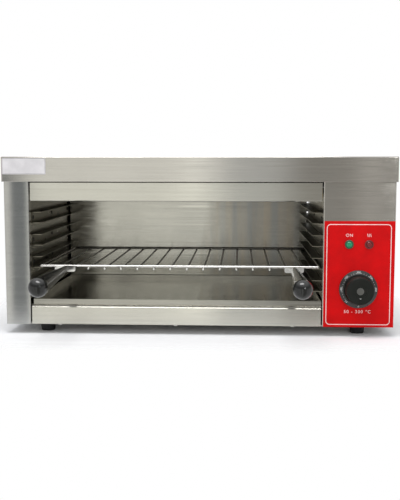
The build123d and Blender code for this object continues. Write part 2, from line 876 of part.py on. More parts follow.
def element_bushes():
    """Threaded bushes that carry the tubes through the right wall."""
    bushes = []
    for y in element_ends:
        flange_x = (wall_right - bush_flange_height, wall_right)
        bush = rod_x(bush_flange_radius, flange_x, y, element_height)
        bush += rod_x(bush_barrel_radius, (wall_right, wall_right + bush_length), y, element_height)
        bore_x = (wall_right - 2 * bush_flange_height, wall_right + 2 * bush_length)
        bush -= rod_x(element_radius + bush_bore_play, bore_x, y, element_height)
        bushes.append(bush)
    return bushes


def element_nuts():
    nuts = []
    for y in element_ends:
        nut = hexagon(bush_nut_flats, bush_nut_height)
        nut -= rod_z(bush_barrel_radius + thread_play, 0, 0, (-cut_spare, bush_nut_height + cut_spare))
        nuts.append(Pos(wall_right_outer, y, element_height) * Rot(0, 90, 0) * nut)
    return nuts


def element_insulators():
    x = (element_end, terminal_start)
    return [rod_x(insulator_radius, x, y, element_height) for y in element_ends]


def element_terminals():
    """Studs at the tubes' cold ends, each with its nut."""
    terminals = []
    for y in element_ends:
        stud = rod_x(terminal_radius, (terminal_start, terminal_end), y, element_height)
        nut = Rot(0, 90, 0) * hexagon(terminal_nut_flats, terminal_nut_height)
        nut = Pos(terminal_start, y, element_height) * nut
        terminals.append(stud + nut)
    return terminals


# ---------------------------------------------------------------- control panel pieces
def control_label():
    """Thin coloured overlay on the control panel, plain, with holes for the controls."""
    x = (opening_right + label_left_inset, half_case - label_right_inset)
    label = block(x, (label_front, front), (case_bottom, case_bottom + label_height))
    cut = (label_front - label_sheet, front + label_sheet)
    for lamp_x in lamp_places:
        label -= rod_y(lamp_body_radius + panel_bore_play, lamp_x, cut, lamp_height)
    return label - rod_y(label_nut_hole, panel_middle, cut, knob_axis)


def lamp_bezel(x):
    y = (label_front - lamp_bezel_height, label_front)
    ring = rod_y(lamp_bezel_radius, x, y, lamp_height)
    ring = fillet(ring.edges().group_by(Axis.Y)[0], lamp_bezel_round)
    cut = (y[0] - cut_spare, y[1] + cut_spare)
    return ring - rod_y(lamp_lens_radius + lamp_bezel_play, x, cut, lamp_height)


def lamp_lens(x):
    lens = rod_y(lamp_lens_radius, x, (label_front - lamp_lens_height, label_front), lamp_height)
    return fillet(lens.edges().group_by(Axis.Y)[0], lamp_lens_round)


def lamp_body(x):
    return rod_y(lamp_body_radius, x, (label_front, label_front + lamp_body_length), lamp_height)


def dial_ring():
    """Fixed scale ring round the knob, with a sloping face for the numbers."""
    inner = knob_radius + knob_dial_gap
    outline = Polyline(
        (label_nut_hole, 0),
        (dial_radius, 0),
        (dial_radius, dial_rim_height),
        (dial_top_radius, dial_height),
        (inner, dial_height),
        (inner, dial_web),
        (label_nut_hole, dial_web),
        (label_nut_hole, 0),
    )
    ring = revolve(Plane.XZ * make_face(outline), Axis.Z)
    return Pos(panel_middle, label_front, knob_axis) * Rot(90, 0, 0) * ring


def temperature_knob():
    """Round knob with a recessed front and a pointer groove, at rest pointing down."""
    length = knob_back - knob_front
    knob = Pos(0, 0, length / 2) * Cone(knob_radius, knob_radius - knob_taper, length)
    knob = fillet(knob.edges().group_by(Axis.Z)[-1], knob_edge_round)
    knob -= rod_z(knob_back_recess_radius, 0, 0, (-cut_spare, knob_back_recess_depth))
    recess = (length - knob_front_recess_depth, length + cut_spare)
    knob -= rod_z(knob_front_recess_radius, 0, 0, recess)
    cap_seat = (length - knob_front_recess_depth - knob_cap_height, length)
    knob -= rod_z(knob_cap_radius + knob_cap_play, 0, 0, cap_seat)
    groove_y = (-2 * knob_radius, -knob_front_recess_radius - knob_groove_width)
    half_groove = knob_groove_width / 2
    groove_z = (length - knob_groove_depth, length + cut_spare)
    knob -= block((-half_groove, half_groove), groove_y, groove_z)
    bore = rod_z(shaft_radius + shaft_play, 0, 0, (0, knob_back_recess_depth + shaft_in_knob))
    flat = shaft_radius - shaft_flat_depth + shaft_play
    bore -= block((-knob_radius, knob_radius), (flat, knob_radius), (-cut_spare, length))
    knob -= bore
    return Pos(panel_middle, knob_back, knob_axis) * Rot(90, 0, 0) * knob


def knob_cap():
    """Plain metal disc in the middle of the knob."""
    y1 = knob_front + knob_front_recess_depth + knob_cap_height
    return rod_y(knob_cap_radius, panel_middle, (y1 - knob_cap_height, y1), knob_axis)


def thermostat_shaft():
    """Shaft from the thermostat into the knob, with a flat for the knob's bore."""
    knob_web = knob_back - knob_back_recess_depth
    y0 = knob_web - shaft_in_knob + seat_gap
    y1 = panel_inner + shaft_in_body - seat_gap
    shaft = rod_y(shaft_radius, panel_middle, (y0, y1), knob_axis)
    flat = knob_axis + shaft_radius - shaft_flat_depth
    x = (panel_middle - shaft_radius, panel_middle + shaft_radius)
    return shaft - block(x, (y0, knob_web), (flat, knob_axis + 2 * shaft_radius))


def thermostat_body():
    """Thermostat behind the panel, with its threaded boss through the panel."""
    half = thermostat_width / 2
    x = (panel_middle - half, panel_middle + half)
    z = (knob_axis - half, knob_axis + half)
    body = block(x, (panel_inner, thermostat_back), z)
    body = fillet(body.edges().filter_by(Axis.Y), thermostat_corner_radius)
    body += rod_y(boss_radius, panel_middle, (front - boss_reach, thermostat_back), knob_axis)
    bore = (front - boss_reach - cut_spare, panel_inner + shaft_in_body)
    return body - rod_y(shaft_radius + shaft_play, panel_middle, bore, knob_axis)


def thermostat_nut():
    nut = hexagon(boss_nut_flats, boss_nut_height)
    nut -= rod_z(boss_radius + thread_play, 0, 0, (-cut_spare, boss_nut_height + cut_spare))
    return Pos(panel_middle, front, knob_axis) * Rot(90, 0, 0) * nut


def blade_places():
    return (panel_middle - blade_pitch / 2, panel_middle + blade_pitch / 2)


def thermostat_blades():
    """Flat terminals on the back of the thermostat."""
    blades = []
    for x in blade_places():
        across = (x - blade_sheet / 2, x + blade_sheet / 2)
        upright = (knob_axis - blade_width / 2, knob_axis + blade_width / 2)
        blades.append(block(across, (thermostat_back, blade_end), upright))
    return blades


def capillary_tube():
    """Thin tube from the thermostat to its bulb under the cavity roof."""
    points = [
        (capillary_x, capillary_y, thermostat_top),
        (capillary_x, capillary_y, element_height),
        (capillary_x, bulb_y, element_height),
        (bulb_right, bulb_y, element_height),
    ]
    return tube(points, capillary_radius, capillary_bend)


def thermostat_bulb():
    bulb = rod_x(bulb_radius, (bulb_left, bulb_right), bulb_y, element_height)
    return fillet(bulb.edges().group_by(Axis.X)[0], bulb_end_round)


def bulb_clips():
    """Clips that hold the bulb to the cavity's back wall."""
    clips = []
    inner = bulb_radius + clip_play
    for middle in (bulb_left + clip_inset, bulb_right - clip_inset):
        x = (middle - clip_width / 2, middle + clip_width / 2)
        ring = rod_x(inner + clip_wall, x, bulb_y, element_height)
        z = (element_height - clip_wall / 2, element_height + clip_wall / 2)
        ring += block(x, (bulb_y + inner, cavity_back), z)
        foot_z = (element_height - inner, element_height + inner)
        ring += block(x, (cavity_back - clip_wall, cavity_back), foot_z)
        cut = (x[0] - cut_spare, x[1] + cut_spare)
        clips.append(ring - rod_x(inner, cut, bulb_y, element_height))
    return clips


# ---------------------------------------------------------------- mains connections
def gland_bore(y):
    return rod_y(gland_bore_radius, panel_middle, (y[0] - cut_spare, y[1] + cut_spare), gland_height)


def cable_gland_body():
    """Gland body: collar outside the back panel, thread through it."""
    y = (back_inner - gland_inside_length, back + gland_collar_height)
    collar = Rot(-90, 0, 0) * hexagon(gland_flats, gland_collar_height)
    body = Pos(panel_middle, back, gland_height) * collar
    body += rod_y(gland_thread_radius, panel_middle, y, gland_height)
    return body - gland_bore(y)


def cable_gland_cap():
    y = (back + gland_collar_height, back + gland_collar_height + gland_cap_height)
    cap = rod_y(gland_cap_radius, panel_middle, y, gland_height)
    cap = fillet(cap.edges().group_by(Axis.Y)[-1], gland_cap_round)
    return cap - gland_bore(y)


def cable_gland_locknut():
    nut = hexagon(gland_flats, gland_nut_height)
    nut -= rod_z(gland_thread_radius + thread_play, 0, 0, (-cut_spare, gland_nut_height + cut_spare))
    return Pos(panel_middle, back_inner, gland_height) * Rot(90, 0, 0) * nut


def terminal_block():
    half = block_width / 2
    x = (panel_middle - half, panel_middle + half)
    body = block(x, (block_front, block_back), (base_top, block_top))
    well_z = (block_top - block_well_depth, block_top + cut_spare)
    for way in way_places:
        for y in block_screw_y:
            body -= rod_z(block_well_radius, way, y, well_z)
    return body


def terminal_block_screws():
    z0 = block_top - block_well_depth
    screws = []
    for way in way_places:
        for y in block_screw_y:
            screws.append(rod_z(block_screw_radius, way, y, (z0, z0 + block_screw_height)))
    return screws


def live_wires():
    """From the block to the thermostat, on to the front element and over to the rear one."""
    left_blade, right_blade = blade_places()
    turn = blade_end + 2 * wire_bend
    supply = [
        (left_blade, block_front, wire_height),
        (left_blade, turn, wire_height),
        (left_blade, turn, knob_axis),
        (left_blade, blade_end, knob_axis),
    ]
    first = front_ends[0]
    last = rear_ends[1]
    feed = [
        (right_blade, blade_end, knob_axis),
        (right_blade, first, knob_axis),
        (right_blade, first, element_height),
        (terminal_end, first, element_height),
    ]
    x = terminal_end - terminal_wire_inset
    z0 = element_height + terminal_radius
    jumper = [
        (x, first, z0),
        (x, first, element_height + jumper_rise),
        (x, last, element_height + jumper_rise),
        (x, last, z0),
    ]
    return [
        tube(supply, wire_radius, wire_bend),
        tube(feed, wire_radius, wire_bend / 2),
        tube(jumper, wire_radius, wire_bend),
    ]


def neutral_wires():
    """From the block up to the rear element and across to the front one."""
    y = rear_ends[0]
    riser = [
        (way_places[1], block_front, wire_height),
        (way_places[1], y, wire_height),
        (way_places[1], y, element_height),
        (terminal_end, y, element_height),
    ]
    x = terminal_end - terminal_wire_inset
    z0 = element_height - terminal_radius
    link = [
        (x, front_ends[1], z0),
        (x, front_ends[1], element_height - jumper_rise),
        (x, y, element_height - jumper_rise),
        (x, y, z0),
    ]
    return [tube(riser, wire_radius, wire_bend), tube(link, wire_radius, wire_bend)]


earth_x = way_places[2] + earth_offset
earth_y = block_front - earth_forward


def earth_wire():
    points = [
        (way_places[2], block_front, wire_height),
        (way_places[2], block_front - earth_forward / 2, wire_height),
        (earth_x, block_front - earth_forward / 2, wire_height),
        (earth_x, earth_y + earth_stud_radius, wire_height),
    ]
    return tube(points, wire_radius, wire_bend)


def earth_stud():
    stud = rod_z(earth_stud_radius, earth_x, earth_y, (base_top, base_top + earth_stud_height))
    nut = Pos(earth_x, earth_y, base_top) * hexagon(earth_nut_flats, earth_nut_height)
    return stud + nut


def lamp_leads():
    """Two thin leads from each lamp down to the thermostat."""
    leads = []
    back_of_lamp = label_front + lamp_body_length
    turn = thermostat_back + lead_setback
    for lamp in lamp_places:
        for offset in (-lead_offset, lead_offset):
            x = lamp + offset
            points = [
                (x, back_of_lamp, lamp_height),
                (x, turn, lamp_height),
                (x, turn, thermostat_top - lead_drop),
                (x, thermostat_back, thermostat_top - lead_drop),
            ]
            leads.append(tube(points, lead_radius, lead_bend))
    return leads


# ---------------------------------------------------------------- feet and screws
def rubber_feet():
    feet = []
    for x, y in foot_places:
        foot = Pos(0, 0, base_bottom / 2) * Cone(foot_bottom_radius, foot_top_radius, base_bottom)
        foot = fillet(foot.edges().group_by(Axis.Z)[0], foot_edge_round)
        foot -= rod_z(foot_recess_radius, 0, 0, (-cut_spare, foot_recess_depth))
        foot -= rod_z(foot_screw_radius + foot_screw_play, 0, 0, (0, base_top))
        feet.append(Pos(x, y, 0) * foot)
    return feet


def foot_screws():
    """Screws up through the feet and the base plate, each with its nut."""
    screws = []
    end = base_top + foot_nut_height + foot_screw_spare
    for x, y in foot_places:
        head_z = (foot_recess_depth - foot_screw_head_height, foot_recess_depth)
        head = rod_z(foot_screw_head_radius, 0, 0, head_z)
        shank = rod_z(foot_screw_radius, 0, 0, (head_z[0], end))
        nut = Pos(0, 0, base_top) * hexagon(foot_nut_flats, foot_nut_height)
        screws.append(Pos(x, y, 0) * (head + shank + nut))
    return screws


def case_screws():
    """Pan-head screws of the back panel, the case sides, the cover and the bottom rail."""
    facing_back = Rot(-90, 0, 0)
    facing_down = Rot(180, 0, 0)
    places = []
    for side in (-1, 1):
        facing_side = Rot(0, side * 90, 0)
        for z in back_screw_z:
            places.append(Pos(side * back_screw_x, back, z) * facing_back)
        for y in side_screw_y:
            places.append(Pos(side * half_case, y, side_screw_z) * facing_side)
        places.append(Pos(side * base_screw_spacing / 2, back, base_flange_screw_z) * facing_back)
        places.append(Pos(side * cover_screw_x, cover_back, cover_screw_z) * facing_back)
    for x in rail_screw_x:
        places.append(Pos(x, rail_screw_y, case_bottom) * facing_down)
    return [place * screw() for place in places]


# ---------------------------------------------------------------- every piece by name
pieces = {
    "top_cover": top_cover(),
    "badge_plate": badge_plate(),
    "left_side_casing": left_side_casing(),
    "right_side_casing": right_side_casing(),
    "front_header_rail": front_header_rail(),
    "bottom_front_rail": bottom_front_rail(),
    "back_panel": back_panel(),
    "base_plate": base_plate(),
    "cavity_left_wall": cavity_left_wall(),
    "cavity_right_wall": cavity_right_wall(),
    "cavity_back_wall": cavity_back_wall(),
    "cavity_roof": cavity_roof(),
    "cavity_floor": cavity_floor(),
    "runners_left": runners(wall_left, -1),
    "runners_right": runners(wall_right, 1),
    "runner_rivets": runner_rivets(),
    "heating_element_front": heating_element(leg_places[:legs_per_element]),
    "heating_element_rear": heating_element(leg_places[legs_per_element:]),
    "element_brackets": element_brackets(),
    "element_bushes": element_bushes(),
    "element_nuts": element_nuts(),
    "element_insulators": element_insulators(),
    "element_terminals": element_terminals(),
    "shelf_frame": shelf_frame(),
    "shelf_bars": shelf_bars(),
    "handle_brackets": handle_brackets(),
    "left_handle_grip": handle_grip(handle_places[0]),
    "right_handle_grip": handle_grip(handle_places[1]),
    "crumb_tray": crumb_tray(),
    "control_label": control_label(),
    "power_lamp_bezel": lamp_bezel(lamp_places[0]),
    "power_lamp_lens": lamp_lens(lamp_places[0]),
    "power_lamp_body": lamp_body(lamp_places[0]),
    "heat_lamp_bezel": lamp_bezel(lamp_places[1]),
    "heat_lamp_lens": lamp_lens(lamp_places[1]),
    "heat_lamp_body": lamp_body(lamp_places[1]),
    "lamp_leads": lamp_leads(),
    "dial_ring": dial_ring(),
    "temperature_knob": temperature_knob(),
    "knob_cap": knob_cap(),
    "thermostat_shaft": thermostat_shaft(),
    "thermostat_body": thermostat_body(),
    "thermostat_nut": thermostat_nut(),
    "thermostat_blades": thermostat_blades(),
    "capillary_tube": capillary_tube(),
    "thermostat_bulb": thermostat_bulb(),
    "bulb_clips": bulb_clips(),
    "cable_gland_body": cable_gland_body(),
    "cable_gland_cap": cable_gland_cap(),
    "cable_gland_locknut": cable_gland_locknut(),
    "terminal_block": terminal_block(),
    "terminal_block_screws": terminal_block_screws(),
    "live_wires": live_wires(),
    "neutral_wires": neutral_wires(),
    "earth_wire": earth_wire(),
    "earth_stud": earth_stud(),
    "rubber_feet": rubber_feet(),
    "foot_screws": foot_screws(),
    "case_screws": case_screws(),
}

os.makedirs("parts", exist_ok=True)
for name, piece in pieces.items():
    shape = piece
    if isinstance(piece, list):
        shape = Compound([solid for member in piece for solid in member.solids()])
    export_step(shape, "parts/" + name + ".step")
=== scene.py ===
import math

import bmesh
import bpy
from mathutils import Matrix, Vector


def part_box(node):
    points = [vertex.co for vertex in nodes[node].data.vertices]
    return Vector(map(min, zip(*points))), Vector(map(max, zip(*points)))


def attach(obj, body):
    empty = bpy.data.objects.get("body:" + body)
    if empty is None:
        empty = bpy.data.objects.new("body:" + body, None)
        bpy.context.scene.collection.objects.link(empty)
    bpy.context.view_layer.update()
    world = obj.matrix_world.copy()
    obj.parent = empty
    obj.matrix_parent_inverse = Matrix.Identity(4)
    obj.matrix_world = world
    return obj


MM = 0.001
X, Y, Z = range(3)

# Places of a mix node's sockets, whose names repeat.
MIX_FACTOR = 0
NUMBER_A, NUMBER_B, NUMBER_RESULT = 2, 3, 0
COLOUR_A, COLOUR_B, COLOUR_RESULT = 6, 7, 2

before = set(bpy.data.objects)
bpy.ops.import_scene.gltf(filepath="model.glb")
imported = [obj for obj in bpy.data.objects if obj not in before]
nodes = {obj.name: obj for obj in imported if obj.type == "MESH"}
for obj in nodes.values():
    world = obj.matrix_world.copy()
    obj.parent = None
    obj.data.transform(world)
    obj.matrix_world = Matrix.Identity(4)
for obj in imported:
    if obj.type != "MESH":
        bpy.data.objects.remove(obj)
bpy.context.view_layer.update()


# ------------------------------------------------------------------ shader helpers
class Graph:
    """A node tree with short ways to add nodes to it."""

    def __init__(self, tree):
        self.tree = tree

    def add(self, kind, **settings):
        node = self.tree.nodes.new(kind)
        for key, value in settings.items():
            setattr(node, key, value)
        return node

    def link(self, output, target):
        self.tree.links.new(output, target)

    def feed(self, socket, value):
        """Gives a socket a number, a colour or another node's output."""
        if isinstance(value, (int, float)):
            socket.default_value = value
        elif isinstance(value, tuple):
            socket.default_value = (*value, 1)
        else:
            self.link(value, socket)

    def split(self, vector):
        """The x, y and z of a vector."""
        node = self.add("ShaderNodeSeparateXYZ")
        self.link(vector, node.inputs[0])
        return node.outputs

    def where(self, kind="Object"):
        """The x, y and z of a texture coordinate."""
        return self.split(self.add("ShaderNodeTexCoord").outputs[kind])

    def maths(self, operation, a, b=None):
        node = self.add("ShaderNodeMath", operation=operation)
        self.feed(node.inputs[0], a)
        if b is not None:
            self.feed(node.inputs[1], b)
        return node.outputs["Value"]

    def spread(self, value, low, high, start=0.3, end=0.7, curve="LINEAR"):
        """Maps the values from start to end on the range from low to high."""
        node = self.add("ShaderNodeMapRange", interpolation_type=curve)
        node.inputs["From Min"].default_value = start
        node.inputs["From Max"].default_value = end
        node.inputs["To Min"].default_value = low
        node.inputs["To Max"].default_value = high
        self.link(value, node.inputs["Value"])
        return node.outputs["Result"]

    def soft_step(self, value, start, end):
        return self.spread(value, 0.0, 1.0, start, end, "SMOOTHSTEP")

    def mix(self, factor, a, b, blend="MIX"):
        """A colour between or of two colours."""
        node = self.add("ShaderNodeMix", data_type="RGBA", blend_type=blend)
        self.feed(node.inputs[MIX_FACTOR], factor)
        self.feed(node.inputs[COLOUR_A], a)
        self.feed(node.inputs[COLOUR_B], b)
        return node.outputs[COLOUR_RESULT]

    def mix_shaders(self, factor, a, b):
        node = self.add("ShaderNodeMixShader")
        for socket, output in zip(node.inputs, (factor, a, b)):
            self.link(output, socket)
        return node.outputs[0]


class Finish(Graph):
    """A material with one Principled shader and short ways to add detail to it."""

    def __init__(self, name, colour, roughness, metallic=0.0, **sockets):
        self.material = bpy.data.materials.new(name)
        self.material.use_nodes = True
        super().__init__(self.material.node_tree)
        self.shader = self.tree.nodes["Principled BSDF"]
        self.feed(self.shader.inputs["Base Color"], colour)
        self.shader.inputs["Roughness"].default_value = roughness
        self.shader.inputs["Metallic"].default_value = metallic
        for socket, value in sockets.items():
            self.shader.inputs[socket.replace("_", " ")].default_value = value

    def place(self, scale):
        """Object coordinates, stretched by three factors per metre."""
        where = self.add("ShaderNodeTexCoord")
        mapping = self.add("ShaderNodeMapping")
        mapping.inputs["Scale"].default_value = scale
        self.link(where.outputs["Object"], mapping.inputs["Vector"])
        return mapping.outputs["Vector"]

    def noise(self, scale, detail=3.0, rough=0.55):
        node = self.add("ShaderNodeTexNoise")
        node.inputs["Scale"].default_value = 1.0
        node.inputs["Detail"].default_value = detail
        node.inputs["Roughness"].default_value = rough
        self.link(self.place(scale), node.inputs["Vector"])
        return node.outputs["Fac"]

    def even_noise(self, scale, detail):
        """Noise of the same scale along each axis."""
        return self.noise((scale, scale, scale), detail)

    def paint(self, colour):
        self.link(colour, self.shader.inputs["Base Color"])

    def tint(self, value, dark, light):
        """Base colour between two colours."""
        colour = self.mix(value, dark, light)
        self.paint(colour)
        return colour

    def vary(self, value, colour, darker, brighter):
        """Base colour between two shades of one colour."""
        return self.tint(value, lighter(colour, darker), lighter(colour, brighter))

    def darker_lip(self, sheet, amount):
        """Painted shade: faces that look to the front or the back are a little darker than the flat sheet.
        """
        kept = 1 - amount
        self.paint(self.mix(self.facing(Y), sheet, (kept, kept, kept), "MULTIPLY"))

    def heat_tint(self, sheet, start, end, level):
        """Painted reflection: the sheet turns darker from one x to the next, in blue and straw coloured
        soft upright streaks, standing in for dark reflections.
        """
        drift = self.spread(self.noise((30.0, 4.0, 6.0), 2.0), -0.02, 0.02)
        depth = self.spread(self.maths("ADD", self.where()[X], drift), 0.0, 1.0, start, end)
        streaks = self.spread(self.noise((75.0, 2.0, 1.6), 3.0), 0.0, 1.0, 0.38, 0.62)
        blue = (level, level * 1.02, level * 1.06)
        straw = (level * 1.15, level * 1.05, level * 0.95)
        self.paint(self.mix(depth, sheet, self.mix(streaks, blue, straw), "MULTIPLY"))

    def rough(self, value, low, high, start=0.3, end=0.7):
        self.link(self.spread(value, low, high, start, end), self.shader.inputs["Roughness"])

    def bump(self, height, strength, distance, after=None):
        node = self.add("ShaderNodeBump")
        node.inputs["Strength"].default_value = strength
        node.inputs["Distance"].default_value = distance
        self.link(height, node.inputs["Height"])
        if after is not None:
            self.link(after.outputs["Normal"], node.inputs["Normal"])
        self.link(node.outputs["Normal"], self.shader.inputs["Normal"])
        return node

    def facing(self, axis):
        """How far the surface looks along one axis, either way, 0 to 1."""
        normal = self.add("ShaderNodeNewGeometry").outputs["Normal"]
        return self.maths("ABSOLUTE", self.split(normal)[axis])

    def grain(self, along, across, detail=2.0):
        """Rolling lines that run along X, and along Y on faces that look along X."""
        node = self.add("ShaderNodeMix", data_type="FLOAT")
        self.link(self.facing(X), node.inputs[MIX_FACTOR])
        self.link(self.noise((along, across, across), detail), node.inputs[NUMBER_A])
        self.link(self.noise((across, along, across), detail), node.inputs[NUMBER_B])
        return node.outputs[NUMBER_RESULT]

    def smear_across_grain(self):
        """Tangent across the lines: reflections blur up and down and stay sharp sideways."""
        level = self.facing(Z)
        join = self.add("ShaderNodeCombineXYZ")
        self.link(level, join.inputs[Y])
        self.link(self.maths("SUBTRACT", 1.0, level), join.inputs[Z])
        self.link(join.outputs[0], self.shader.inputs["Tangent"])

    def crown(self, middle, slope, half_width):
        """Height of a sheet that bulges a little across X, in metres."""
        off = self.maths("SUBTRACT", self.where()[X], middle)
        return self.maths("MULTIPLY", self.maths("MULTIPLY", off, off), -slope / (2 * half_width))


def lighter(colour, factor):
    return tuple(min(1.0, c * factor) for c in colour)


def brushed(
    name,
    colour,
    roughness,
    anisotropic=0.75,
    streak=0.05,
    bow=0.0,
    bow_scale=(3.2, 3.2, 2.2),
    crown=None,
    grooves=0.0,
    heat=None,
    lip=0.0,
):
    """Rolled stainless sheet: fine lines along the sheet, faint clouds and smears.

    bow and grooves are depths in metres, crown and heat are the arguments of Finish.crown
    and of the painted reflection tint, and lip is how much painted shade darkens the lip.
    """
    finish = Finish(name, colour, roughness, 1.0, Anisotropic=anisotropic)
    fine = finish.grain(9.0, 1300.0)
    lines = finish.maths("MULTIPLY", finish.grain(5.0, 420.0, 3.0), 0.5)
    cloud = finish.maths("MULTIPLY", finish.noise((7.0, 7.0, 5.0), 4.0), 0.5)
    uneven = finish.spread(finish.maths("ADD", lines, cloud), 0.0, 1.0, 0.35, 0.65)
    sheet = finish.vary(uneven, colour, 1 - streak, 1 + streak)
    # Painted reflection: the sheet darker towards one side, with blue and straw streaks.
    if heat:
        finish.heat_tint(sheet, *heat)
    # Painted shade on the faces that look to the front or the back.
    if lip:
        finish.darker_lip(sheet, lip)
    smear = finish.noise((22.0, 22.0, 60.0), 5.0, 0.65)
    finish.rough(smear, roughness * 0.85, roughness * 1.2)
    last = finish.bump(fine, 0.03, 0.0002)
    if grooves:
        last = finish.bump(finish.grain(2.0, 2200.0, 0.0), 1.0, grooves, last)
    if bow:
        last = finish.bump(finish.noise(bow_scale, 1.0), 1.0, bow, last)
    if crown:
        finish.bump(finish.crown(*crown), 1.0, 1.0, last)
    finish.smear_across_grain()
    return finish.material


def moulded(name, colour, roughness, grain=0.15, coat=0.0, size=900.0, gloss=0.5):
    """Moulded plastic or enamel with a fine skin."""
    finish = Finish(
        name, colour, roughness, Coat_Weight=coat, Coat_Roughness=0.06, Specular_IOR_Level=gloss
    )
    cloud = finish.even_noise(45.0, 4.0)
    finish.vary(finish.spread(cloud, 0.0, 1.0), colour, 0.9, 1.12)
    finish.rough(cloud, roughness * 0.85, min(1.0, roughness * 1.2))
    finish.bump(finish.even_noise(size, 3.0), grain, 0.0001)
    return finish.material


def turned(name, colour, roughness, stain=0.1):
    """Small turned or drawn metal piece."""
    finish = Finish(name, colour, roughness, 1.0)
    mottle = finish.even_noise(160.0, 4.0)
    finish.vary(finish.spread(mottle, 0.0, 1.0), colour, 1 - stain, 1 + stain)
    finish.rough(mottle, roughness * 0.8, roughness * 1.3)
    finish.bump(finish.even_noise(1500.0, 2.0), 0.08, 0.0001)
    return finish.material


def heat_dulled(name, bright, painted_shade, roughness):
    """Chromed wire, bright at the front edge of the shelf, with painted shade that darkens it further in.
    """
    finish = Finish(name, bright, roughness, 1.0)
    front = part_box("shelf_frame")[0].y
    painted_shade_start = front + 4 * MM
    painted_shade_end = front + 30 * MM
    mottle = finish.noise((120.0, 60.0, 120.0), 4.0)
    depth = finish.spread(finish.where()[Y], 0.0, 1.0, painted_shade_start, painted_shade_end)
    uneven = finish.maths("MULTIPLY", depth, finish.spread(mottle, 0.85, 1.0))
    finish.tint(uneven, bright, painted_shade)
    finish.rough(uneven, roughness, roughness * 1.6, 0.0, 1.0)
    finish.bump(finish.even_noise(1500.0, 2.0), 0.06, 0.0001)
    return finish.material


def lens(name, colour, glow, facets):
    """Coloured lens with small prism facets and a faint inner glow."""
    finish = Finish(name, colour, 0.12, Coat_Weight=0.6, Coat_Roughness=0.05)
    finish.shader.inputs["Emission Color"].default_value = (*colour, 1)
    finish.shader.inputs["Emission Strength"].default_value = glow
    cells = finish.add("ShaderNodeTexVoronoi", distance="CHEBYCHEV")
    cells.inputs["Scale"].default_value = 1.0
    finish.link(finish.place((facets, facets, facets)), cells.inputs["Vector"])
    edge = cells.outputs["Distance"]
    finish.vary(finish.spread(edge, 0.0, 1.0, 0.1, 0.6), colour, 1.25, 0.55)
    finish.bump(edge, 0.5, 0.0006)
    return finish.material


def put(material, *names):
    for name in names:
        data = nodes[name].data
        data.materials.clear()
        data.materials.append(material)


# ------------------------------------------------------------------ sheet metal
stile_low, stile_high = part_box("left_side_casing")
panel_low, panel_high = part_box("right_side_casing")
stile_crown = (stile_high.x, 0.04, (stile_high.x - stile_low.x) / 2)
panel_crown = ((panel_low.x + panel_high.x) / 2, 0.005, (panel_high.x - panel_low.x) / 2)
case_grooves = 0.00002
# Painted reflection on the back wall: darker from x -0.01 to 0.045 m, to about 0.62 of its colour.
wall_painted_reflection = (-0.01, 0.045, 0.62)

put(
    brushed("cover_steel", (0.59, 0.57, 0.53), 0.12, 1.0, bow=0.0012, grooves=case_grooves),
    "top_cover",
)
put(
    brushed(
        "stile_steel",
        (0.56, 0.56, 0.535),
        0.12,
        1.0,
        bow=0.0005,
        crown=stile_crown,
        grooves=case_grooves,
    ),
    "left_side_casing",
)
put(
    brushed(
        "panel_steel",
        (0.56, 0.54, 0.5),
        0.14,
        1.0,
        bow=0.0010,
        crown=panel_crown,
        grooves=case_grooves,
    ),
    "right_side_casing",
)
put(
    brushed("rail_steel", (0.62, 0.605, 0.545), 0.12, 1.0, bow=0.0009, grooves=case_grooves),
    "front_header_rail",
    "bottom_front_rail",
)
put(
    brushed("plain_steel", (0.60, 0.585, 0.54), 0.28, bow=0.0010),
    "back_panel",
    "base_plate",
    "cavity_roof",
    "cavity_floor",
)
put(
    brushed(
        "back_wall_steel",
        (0.5, 0.49, 0.44),
        0.08,
        1.0,
        streak=0.02,
        bow=0.0008,
        bow_scale=(14.0, 3.0, 1.5),
        grooves=0.00006,
        # Painted reflection: the wall darker towards its right side.
        heat=wall_painted_reflection,
    ),
    "cavity_back_wall",
)
put(
    brushed("side_wall_steel", (0.36, 0.35, 0.3), 0.2, 0.6, bow=0.0010),
    "cavity_left_wall",
    "cavity_right_wall",
)
put(
    brushed(
        "tray_steel",
        (0.52, 0.505, 0.45),
        0.09,
        1.0,
        streak=0.03,
        bow=0.0006,
        bow_scale=(12.0, 2.0, 2.0),
        grooves=0.00005,
        # Painted shade: the tray's front and back faces 22% darker.
        lip=0.22,
    ),
    "crumb_tray",
)
put(
    brushed("runner_steel", (0.27, 0.255, 0.2), 0.3, 0.4, streak=0.12),
    "runners_left",
    "runners_right",
)

# ------------------------------------------------------------------ wires, fittings, fasteners
# Painted shade: the wires turn this dark further into the cavity.
wire_painted_shade = (0.2, 0.19, 0.17)
put(turned("rivet_steel", (0.10, 0.098, 0.088), 0.62), "runner_rivets")
put(turned("bracket_chrome", (0.80, 0.79, 0.77), 0.14, 0.05), "handle_brackets")
put(heat_dulled("frame_wire", (0.68, 0.67, 0.65), wire_painted_shade, 0.16), "shelf_frame")
put(heat_dulled("bar_wire", (0.92, 0.91, 0.89), wire_painted_shade, 0.2), "shelf_bars")
put(
    turned("heater_sheath", (0.26, 0.235, 0.2), 0.45, 0.25),
    "heating_element_front",
    "heating_element_rear",
)
put(turned("bracket_steel", (0.5, 0.49, 0.45), 0.35), "element_brackets", "bulb_clips")
put(
    turned("brass_parts", (0.72, 0.53, 0.24), 0.3),
    "element_bushes",
    "element_nuts",
    "thermostat_nut",
)
put(
    turned("screw_zinc", (0.62, 0.61, 0.58), 0.28),
    "foot_screws",
    "case_screws",
    "earth_stud",
)
put(
    turned("terminal_nickel", (0.66, 0.64, 0.58), 0.25),
    "element_terminals",
    "thermostat_blades",
    "terminal_block_screws",
    "thermostat_shaft",
)
put(turned("bulb_copper", (0.7, 0.4, 0.25), 0.32), "thermostat_bulb", "capillary_tube")
put(turned("cap_aluminium", (0.2, 0.2, 0.19), 0.35), "knob_cap")

